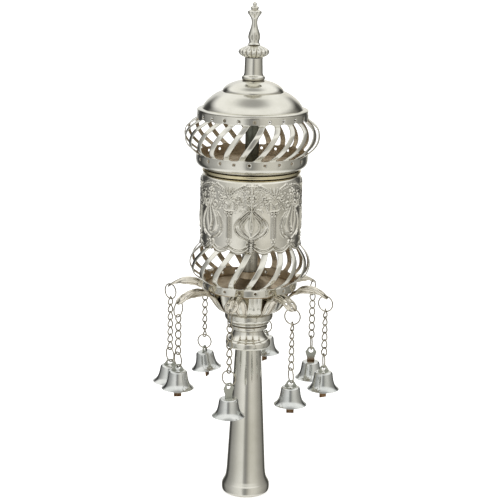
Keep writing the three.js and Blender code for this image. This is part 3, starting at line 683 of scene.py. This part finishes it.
def commonRelief(x, z, half):
    column = half - x
    parts = []
    arch = [(s, 249.4 - 7.6 * (s / half) ** 2.4) for s in np.linspace(0, half, 14)]
    for rise in (1.15, -1.25):
        parts.append(raised(x, z, [(a, b + rise) for a, b in arch], 0.8, 0.5))
    beads = [arch[0]] + [(s, 249.4 - 7.6 * (s / half) ** 2.4) for s in np.arange(0.7, half, 1.45)]
    parts.append(balls(x, z, beads, 0.62, 0.62))
    # pointed tip with three leaves where the arches meet over a column
    parts.append(raised(column, z, [(0, 240.2), (1.6, 242.8), (2.6, 246.4)], 1.1, 0.75))
    parts.append(raised(column, z, [(0, 243.8), (0, 247.4)], 1.5, 0.9))
    parts.append(raised(column, z, leafPath((0.2, 243.2), (2.9, 248.0), -0.2), 0.9, 0.7))
    # fan of leaves beside it
    for bow, end, width in ((0.24, (6.6, 243.6), 0.9), (0.2, (6.2, 240.0), 0.9), (0.16, (5.0, 236.6), 1.0)):
        parts.append(raised(column, z, leafPath((0.5, 240.0 - 0.2 * end[0]), end, bow), width, 0.6))
    parts.append(raised(column, z, spiral((7.4, 240.4), 2.5, 200, 1.2), 0.8, 0.65))
    parts.append(balls(column, z, [(7.4, 240.4), (9.6, 243.6), (4.4, 233.2), (8.4, 236.4)], 0.75, 0.7))
    parts.append(raised(column, z, spiral((5.4, 235.0), 1.8, 20, 1.1), 0.7, 0.55))
    # leaves over the column's flower
    parts.append(raised(column, z, leafPath((0.6, 231.0), (5.8, 233.2), -0.18), 1.0, 0.7))
    parts.append(raised(column, z, leafPath((0.6, 232.8), (3.4, 236.6), 0.2), 0.9, 0.6))
    parts.append(balls(column, z, flower((0, 228.8), 1.75, 5), 0.85, 0.95))
    for out in (0.55, 1.75):
        parts.append(raised(column, z, [(out, 210.4), (out, 226.6)], 0.62, 0.5))
    parts.append(raised(column, z, leafPath((1.8, 226.6), (4.6, 229.6), 0.12), 0.6, 0.45))
    parts.append(balls(column, z, [(0, 209.6), (1.2, 207.6), (-1.2, 207.6), (0, 206.0)], 0.82, 0.85))
    # rope and fine line along the scallops, and the bow between them
    low = [(s, scallopAt(s, half) + 1.1) for s in np.arange(0, half, 0.4)]
    parts.append(raised(x, z, low, 1.25, 0.8, twist=1.1))
    parts.append(raised(x, z, [(a, b + 1.75) for a, b in low], 0.65, 0.45))
    parts.append(raised(x, z, [(a, b + 2.7) for a, b in low], 0.5, 0.3))
    parts.append(raised(x, z, [(1.9 + 1.5 * math.cos(a), 206.7 + 1.05 * math.sin(a))
                               for a in np.linspace(0, 2 * math.pi, 16)], 0.8, 0.95))
    parts.append(balls(x, z, [(0, 206.4), (0, 204.2)], 0.95, 1.1))
    parts.append(balls(x, z, flower((0, 201.9), 1.25, 5, 270), 0.75, 0.8))
    return np.maximum.reduce(parts)


def onionRelief(x, z):
    outer = [(1.7, 232.2), (4.6, 229.6), (8.4, 226.0), *smoothLine(
        [(10.4, 223.8), (12.0, 221.2), (12.4, 218.4), (11.6, 215.4), (9.2, 212.6), (5.4, 210.6),
         (0, 208.4)], 4)]
    double = [(1.4, 230.6), (4.0, 228.4), (7.2, 225.2), (9.0, 222.9), (10.3, 220.4)]
    middle = smoothLine([(1.0, 229.6), (3.4, 226.8), (6.6, 223.6), (8.3, 220.4), (7.6, 216.6), (4.4, 213.2),
                         (0, 210.8)], 4)
    inner = smoothLine([(0.6, 230.0), (1.7, 227.2), (4.3, 224.2), (6.1, 220.6), (5.4, 216.9), (2.8, 213.8),
                        (0, 211.6)], 4)
    almondHalf = np.interp(z, [215.4, 217.2, 220.4, 224.6, 228.6, 230.6], [0, 1.9, 2.7, 2.1, 1.0, 0])
    swell = np.clip(1 - (x / np.maximum(almondHalf, 0.01)) ** 2, 0, 1)
    almond = 1.15 * np.sqrt(swell) * (almondHalf > 0.02)
    crease = 0.75 * np.exp(-(x / 0.42) ** 2) * np.clip((z - 215.8) / 2, 0, 1) * np.clip((224 - z) / 4, 0, 1)
    innerHalf = np.interp(z, [211.6, 213.8, 216.9, 220.6, 224.2, 227.2, 230.0],
                          [0, 2.8, 5.4, 6.1, 4.3, 1.7, 0.6])
    belly = 0.55 * np.clip(1 - (x / np.maximum(innerHalf, 0.01)) ** 2, 0, 1) * (innerHalf > 0.02)
    teethAway, teethRun = nearPath(x, z, [(a * 0.91, 210.0 + (b - 208.4) * 0.97) for a, b in outer[5:]])
    teeth = 0.6 * np.clip(1 - (teethAway / 0.95) ** 2, 0, 1)
    teeth = teeth * (0.3 + 0.7 * np.abs(np.sin(np.pi * teethRun / 1.05)))
    parts = [
        raised(x, z, outer, 0.85, 0.75), raised(x, z, double, 0.8, 0.65), raised(x, z, middle, 0.8, 0.55),
        raised(x, z, inner, 1.2, 1.0), np.maximum(almond - crease, 0), belly, teeth * (z < 219),
        raised(x, z, [(0, 233.6), (0, 229.4)], 1.5, 0.95),
        raised(x, z, [(3.9, 236.6), (1.2, 231.4)], 1.0, 0.95),
        raised(x, z, [(3.9, 236.6), (1.6, 234.9), (0, 236.2)], 0.75, 0.6),
        balls(x, z, [(1.1, 238.4), (3.0, 239.2), (1.0, 240.9), (2.9, 241.6), (0, 236.8)], 0.95, 0.85),
        balls(x, z, flower((0, 244.6), 2.3, 5), 1.0, 0.85),
        raised(x, z, leafPath((2.6, 246.0), (8.4, 245.6), 0.12), 0.9, 0.6),
        raised(x, z, spiral((7.2, 236.2), 2.2, 120, -1.2), 0.75, 0.55),
        raised(x, z, leafPath((3.6, 232.4), (8.6, 230.6), 0.2), 0.8, 0.5),
    ]
    return np.maximum.reduce(parts)


def pearRelief(x, z):
    outer = smoothLine([(1.5, 238.6), (2.6, 234.6), (5.2, 229.6), (8.6, 224.6), (10.0, 219.8), (9.0, 214.8),
                        (5.6, 211.4), (2.2, 209.8), (0, 208.8)], 4)
    second = smoothLine([(6.6, 229.4), (9.9, 225.0), (11.6, 219.6), (10.6, 213.8), (7.2, 210.0)], 4)
    lensHalf = np.interp(z, [216.6, 218.6, 222.4, 227.0, 232.0, 236.2], [0, 1.5, 2.5, 1.9, 0.9, 0.1])
    lens = 1.2 * np.sqrt(np.clip(1 - (x / np.maximum(lensHalf, 0.01)) ** 2, 0, 1)) * (lensHalf > 0.05)
    lobeIn = np.interp(z, [212.8, 216.6, 222.4, 228.0, 234.0], [1.2, 1.0, 3.2, 2.2, 1.2])
    lobeOut = np.interp(z, [212.8, 214.6, 219.8, 225.0, 230.0, 234.0], [1.4, 5.6, 7.9, 6.6, 3.6, 1.3])
    middle, half = (lobeIn + lobeOut) / 2, np.maximum((lobeOut - lobeIn) / 2, 0.01)
    inLobe = (z > 212.8) & (z < 234.0)
    lobe = 1.05 * np.sqrt(np.clip(1 - ((x - middle) / half) ** 2, 0, 1)) * inLobe
    scroll = [(2.2, 236.4), (4.4, 237.2), (6.6, 235.8), (6.8, 233.0), (5.2, 231.2)]
    parts = [
        raised(x, z, outer, 0.8, 0.75), raised(x, z, second, 0.7, 0.5), lens, lobe,
        balls(x, z, [(0, 215.0), (0, 212.8)], 1.0, 1.2), balls(x, z, [(4.2, 233.8)], 1.05, 1.0),
        raised(x, z, smoothLine(scroll, 4), 0.85, 0.75), raised(x, z, [(0, 236.0), (0, 240.4)], 0.8, 0.8),
        balls(x, z, flower((0, 244.2), 2.2, 5), 1.05, 1.0),
        balls(x, z, [(3.8, 240.2), (2.2, 240.8)], 0.7, 0.7),
        raised(x, z, leafPath((1.0, 239.4), (4.6, 242.6), 0.2), 0.8, 0.6),
        raised(x, z, leafPath((7.6, 231.6), (10.2, 236.0), -0.2), 0.9, 0.6),
    ]
    return np.maximum.reduce(parts)


def drumRelief(x, z, kind, half, seed):
    common = commonRelief(np.abs(x), z, half)
    motif = onionRelief(np.abs(x), z) if kind == "onion" else pearRelief(np.abs(x), z)
    # granulated ground above, left smooth towards the bottom
    ground = np.sin(4.9 * x + 1.7 * np.sin(2.3 * z) + seed)
    ground = ground * np.sin(5.3 * z + 1.9 * np.sin(2.9 * x + seed))
    share = np.clip((z - 226.5) / 4, 0, 1) * np.clip((248.6 - z) / 1.5, 0, 1)
    return np.maximum(np.maximum(common, motif), 0.2 * share * np.clip(ground, 0, 1))


def embossedDrum(shape):
    half = math.pi * shape["radius"] / shape["panels"]
    across, up = shape["across"], shape["up"]
    x = (np.arange(across) + 0.5) / across * 2 * half - half
    edge = drumEdge(x, half)
    rise = np.linspace(0, 1, up)[:, None]
    z = edge[None, :] + rise * (shape["shoulder"] - edge[None, :])
    grids = []
    for k, kind in enumerate(shape["kinds"]):
        relief = drumRelief(x[None, :] + 0 * z, z, kind, half, k)
        angle = shape["firstPanel"] + 360 / shape["panels"] * (k + x / half / 2)
        grids.append(ringPoint(shape["radius"] + shape["relief"] * relief, angle[None, :], z))
    outer = np.concatenate(grids, axis=1)
    count = outer.shape[1]
    angles = np.concatenate([shape["firstPanel"] + 360 / shape["panels"] * (k + x / half / 2)
                             for k in range(shape["panels"])])
    corner = shape["top"] - shape["shoulder"]
    turn = np.radians(np.linspace(12, 84, 7))[:, None]
    shoulder = ringPoint(shape["radius"] - corner * (1 - np.cos(turn)), angles[None, :],
                         shape["shoulder"] + corner * np.sin(turn))
    lining = shape["radius"] - shape["sheet"]
    mouth = shape["mouth"]
    inner = [(mouth, shape["top"] - 0.2), (mouth, shape["top"] - 1.0),
             (lining, shape["shoulder"] - 0.8), (lining, None)]
    edges = np.tile(edge, shape["panels"])
    rows = [ringPoint(r, angles, edges + 0.05 if h is None else h + 0 * angles)[None] for r, h in inner]
    points = np.concatenate([outer, shoulder, *rows])
    return points.reshape(-1, 3), gridFaces(len(points), count, True, True)


addPiece("embossedDrum", *embossedDrum(drumShape), chased, ["drum"], "silver", crease=75)
print("drum embossed")

# hanging sets: jump ring, curb chain, jump ring, bell and tongue at each leaf's eye
bellShape = {
    "crown": [(0, 0), (4.9, 0), (6.1, -0.25), (6.8, -0.9), (7.1, -1.8)],
    "body": [(7.2, -2.1), (7.5, -4.6), (8.0, -7.2), (8.7, -9.5), (9.8, -11.4), (11.2, -12.9),
             (12.0, -13.5)],
    "lip": [(12.2, -13.65), (12.15, -13.8), (11.4, -13.7)],
    "inside": [(9.0, -11.6), (7.2, -7.6), (6.3, -1.9), (5.2, -0.8), (0, -0.8)],
}
tongueShape = {
    "outline": [(2.0, 2.9), (4.5, -1.2), (3.0, -5.8), (2.8, -22.6)], "thick": 0.9, "eye": 1.85,
    # how far below the eye the copper shows
    "wornFrom": {"b": 17, "d": 12},
}


def turned(points, face, lean, place):
    # points hung from an eye at the origin, turned to their face, leant, and put in place
    turn = Matrix.Rotation(math.radians(-lean), 3, "Y") @ Matrix.Rotation(math.radians(face), 3, "Z")
    return np.array(points, float) @ np.array(turn).T + np.array(place)


def jumpRing(radius, wire):
    line = [(radius * math.cos(a), 0, radius * math.sin(a)) for a in np.radians(np.arange(0, 360, 7.5))]
    return sweptWire(line, wire, 8)


def curbLink(shape, centre, turn):
    # oval link, twisted so that the next one lies flat against it
    half = shape["link"] / 2 - shape["linkWire"] + 0.42
    side = shape["linkWidth"] / 2 - shape["linkWire"]
    line = []
    for a in np.radians(np.arange(0, 360, 12)):
        x, z = side * math.cos(a), half * math.sin(a)
        twist = math.radians(turn + 42 * math.sin(a))
        line.append((x * math.cos(twist), x * math.sin(twist), centre + z))
    return sweptWire(line, shape["linkWire"], 7)


def tongueStrip(shape):
    right = shape["outline"]
    outline = right + [(-x, z) for x, z in right[::-1]]
    dense = []
    for (ax, az), (bx, bz) in zip(outline, outline[1:] + outline[:1]):
        steps = max(int(math.hypot(bx - ax, bz - az) / 0.8), 1)
        dense += [(ax + (bx - ax) * t / steps, az + (bz - az) * t / steps) for t in range(steps)]
    return dense


def tongueMesh(letter, place, face, lean):
    shape = tongueShape
    flat = bmesh.new()
    edges = []
    turns = np.radians(np.arange(0, 360, 20))
    hole = [(shape["eye"] * math.cos(a), shape["eye"] * math.sin(a)) for a in turns]
    for loop in (tongueStrip(shape), hole):
        verts = [flat.verts.new((x, 0, z)) for x, z in loop]
        edges += [flat.edges.new((verts[i - 1], verts[i])) for i in range(len(verts))]
    bmesh.ops.triangle_fill(flat, use_beauty=True, edges=edges)
    solid = bmesh.ops.extrude_face_region(flat, geom=flat.faces[:])
    for vert in [v for v in solid["geom"] if isinstance(v, bmesh.types.BMVert)]:
        vert.co.y += shape["thick"]
    points = [(v.co.x, v.co.y - shape["thick"] / 2, v.co.z) for v in flat.verts]
    worn = [(-v.co.z - shape["wornFrom"].get(letter, 4)) / 4 for v in flat.verts]
    flat.verts.index_update()
    faces = [[v.index for v in f.verts] for f in flat.faces]
    flat.free()
    hung = turned(points, face, lean, place)
    piece = addPiece(f"tongueStrip_{letter}", hung, faces, metals["tongueStrip"],
                     [f"tongue_{letter}"], "copper", crease=30, level=worn)
    edge = piece.modifiers.new("edge", "BEVEL")
    edge.width = 0.00012
    edge.segments = 2
    return piece


def tongueMetal():
    # flat steel strip, still bright at the head and coppered and worn lower down
    material = platedMetal("tongueStrip", finishes["wornCopper"])
    tree = material.node_tree
    shader = tree.nodes["Principled BSDF"]
    copper = shader.inputs["Base Color"].links[0].from_socket
    worn = addNode(tree, "ShaderNodeAttribute", {"attribute_name": "level"}).outputs["Fac"]
    share = addNode(tree, "ShaderNodeMapRange", sockets={"Value": worn})
    mix = addNode(tree, "ShaderNodeMix", {"data_type": "RGBA"}, {
        "Factor": share.outputs["Result"], 6: linear("#C6C8BE"), 7: copper})
    tree.links.new(mix.outputs[2], shader.inputs["Base Color"])
    return material


metals["tongueStrip"] = tongueMetal()
for letter, (arm, reach, hook, links, lug, topFace, endFace, tongueFace, lean) in sets.items():
    x, y, _ = ringPoint(reach, arm, 0)
    top = hook - setShape["topRing"]
    chainTop = top - setShape["topRing"] + setShape["bite"]
    chainEnd = chainTop - (links - 1) * setShape["pitch"] - setShape["link"]
    end = chainEnd + setShape["bite"] - setShape["endRing"]
    eye = end - setShape["endRing"] - 0.9
    points, faces = jumpRing(setShape["topRing"], setShape["ringWire"])
    addPiece(f"topRing_{letter}", turned(points, topFace - 90, 0, (x, y, top)), faces, wireSilver,
             [f"ring_top_{letter}"], "silver")
    points, faces = jumpRing(setShape["endRing"], setShape["ringWire"])
    addPiece(f"endRing_{letter}", turned(points, endFace - 90, 0, (x, y, end)), faces, wireSilver,
             [f"ring_end_{letter}"], "silver")
    half = (endFace - topFace) % 180
    twist = half - 180 if half > 90 else half
    middles = [-setShape["link"] / 2 - setShape["pitch"] * k for k in range(links)]
    chain = joined([curbLink(setShape, middle, topFace + twist * (k + 0.5) / links)
                    for k, middle in enumerate(middles)])
    addPiece(f"curbChain_{letter}", np.array(chain[0]) + np.array([x, y, chainTop]), chain[1], wireSilver,
             [f"chain_{letter}"], "silver")
    bellOutline = [*smoothLine(bellShape["crown"][1:], 4), *smoothLine(bellShape["body"], 5),
                   *bellShape["lip"], *bellShape["inside"], (0, 0)]
    points, faces = spun(bellOutline, 72)
    drop = setShape["crown"][lug]
    points = np.array(points) - np.array([0, 0, drop])
    addPiece(f"bell_{letter}_shell", turned(points, tongueFace, lean, (x, y, eye)), faces, nickel,
             [f"bell_{letter}"], "nickel", crease=30)
    tongueMesh(letter, (x, y, eye), tongueFace, lean)
print("bells hung")

# studio: a light tent round the piece, its walls brighter and dimmer by direction
studio = {
    "background": "#FFFFFF",
    # turn from the front towards +X, and brightness
    "walls": [(-180, 0.9), (-162, 0.8), (-149, 0.12), (-137, 0.05), (-126, 0.06), (-116, 0.22),
              (-104, 0.34), (-90, 0.4), (-70, 0.55), (-50, 0.76), (-32, 0.88), (-19, 0.88),
              (-11, 0.42), (-1, 0.28), (8, 0.4), (18, 0.6), (30, 0.72), (50, 0.7), (66, 0.58),
              (84, 0.44), (104, 0.34), (118, 0.27), (130, 0.12), (140, 0.05), (151, 0.14),
              (163, 0.8), (180, 0.9)],
    "leftTint": "#FFFFFD", "rightTint": "#FFFDF6",
    # brightness, and the lift over which it takes over from the walls
    "valance": (1.05, 20, 40), "ceiling": (0.46, 58, 82), "table": (0.95, -32, -54),
    "floor": ("#FFFFFF", 0.62), "floorRadius": 14,
}


def buildStudio(look):
    world = bpy.data.worlds.new("studio")
    world.use_nodes = True
    scene.world = world
    tree = world.node_tree
    tree.nodes.clear()
    way = addNode(tree, "ShaderNodeTexCoord").outputs["Generated"]
    parts = addNode(tree, "ShaderNodeSeparateXYZ", sockets={"Vector": way})
    ahead = addNode(tree, "ShaderNodeMath", {"operation": "MULTIPLY"}, {0: parts.outputs["Y"], 1: -1.0})
    turn = addNode(tree, "ShaderNodeMath", {"operation": "ARCTAN2"}, {
        0: parts.outputs["X"], 1: ahead.outputs[0]})
    share = addNode(tree, "ShaderNodeMapRange", sockets={
        "Value": turn.outputs[0], "From Min": -math.pi, "From Max": math.pi})
    ramp = addNode(tree, "ShaderNodeValToRGB", sockets={"Fac": share.outputs["Result"]})
    stops = ramp.color_ramp.elements
    while len(stops) < len(look["walls"]):
        stops.new(0.5)
    for stop, (angle, level) in zip(stops, look["walls"]):
        tint = linear(look["rightTint" if angle > 0 else "leftTint"])
        stop.position = angle / 360 + 0.5
        stop.color = [level * c for c in tint[:3]] + [1]
    lift = addNode(tree, "ShaderNodeMath", {"operation": "ARCSINE"}, {0: parts.outputs["Z"]})
    light = ramp.outputs["Color"]
    for key in ("valance", "ceiling", "table"):
        level, start, end = look[key]
        blend = addNode(tree, "ShaderNodeMapRange", {"interpolation_type": "SMOOTHSTEP"}, {
            "Value": lift.outputs[0], "From Min": math.radians(start), "From Max": math.radians(end)})
        if key == "table":
            blend.inputs["From Min"].default_value = math.radians(end)
            blend.inputs["From Max"].default_value = math.radians(start)
            blend.inputs["To Min"].default_value = 1.0
            blend.inputs["To Max"].default_value = 0.0
        mix = addNode(tree, "ShaderNodeMix", {"data_type": "RGBA"}, {
            "Factor": blend.outputs["Result"], 6: light, 7: [level, level, level * 0.985, 1]})
        light = mix.outputs[2]
    lit = addNode(tree, "ShaderNodeBackground", sockets={"Color": light})
    plain = addNode(tree, "ShaderNodeBackground", sockets={"Color": linear(look["background"])})
    seen = addNode(tree, "ShaderNodeLightPath").outputs["Is Camera Ray"]
    mix = addNode(tree, "ShaderNodeMixShader", sockets={0: seen, 1: lit.outputs[0], 2: plain.outputs[0]})
    addNode(tree, "ShaderNodeOutputWorld", sockets={"Surface": mix.outputs[0]})


buildStudio(studio)
floorMesh = bpy.data.meshes.new("floor")
edge = studio["floorRadius"]
ringVerts = [(edge * math.cos(a), edge * math.sin(a), 0) for a in np.radians(np.arange(0, 360, 5))]
floorMesh.from_pydata(ringVerts, [], [tuple(range(len(ringVerts)))])
floor = bpy.data.objects.new("floor", floorMesh)
scene.collection.objects.link(floor)
floor.visible_glossy = False       # the metal mirrors the tent alone
paper = bpy.data.materials.new("matteWhitePaper")
paper.use_nodes = True
sheet = paper.node_tree.nodes["Principled BSDF"]
sheet.inputs["Base Color"].default_value = linear(studio["floor"][0])
sheet.inputs["Roughness"].default_value = 0.9
sheet.inputs["Emission Color"].default_value = (1, 1, 1, 1)
sheet.inputs["Emission Strength"].default_value = studio["floor"][1]
floorMesh.materials.append(paper)
print("studio lit")

# camera: a long lens set a little above the spire's tip, tipped down and leant slightly to one side
view = {"away": 1090.9, "height": 447.6, "down": 13.10, "roll": 1.141, "lens": 106.2}
camera = bpy.data.objects.new("camera", bpy.data.cameras.new("camera"))
scene.collection.objects.link(camera)
camera.data.lens = view["lens"]
camera.data.sensor_width = 36
camera.data.clip_start, camera.data.clip_end = 0.05, 60
camera.matrix_world = (Matrix.Translation((0, -view["away"] / 1000, view["height"] / 1000))
                       @ Matrix.Rotation(math.radians(90 - view["down"]), 4, "X")
                       @ Matrix.Rotation(math.radians(view["roll"]), 4, "Z"))
scene.camera = camera
scene.view_settings.view_transform = "Standard"
scene.view_settings.look = "None"
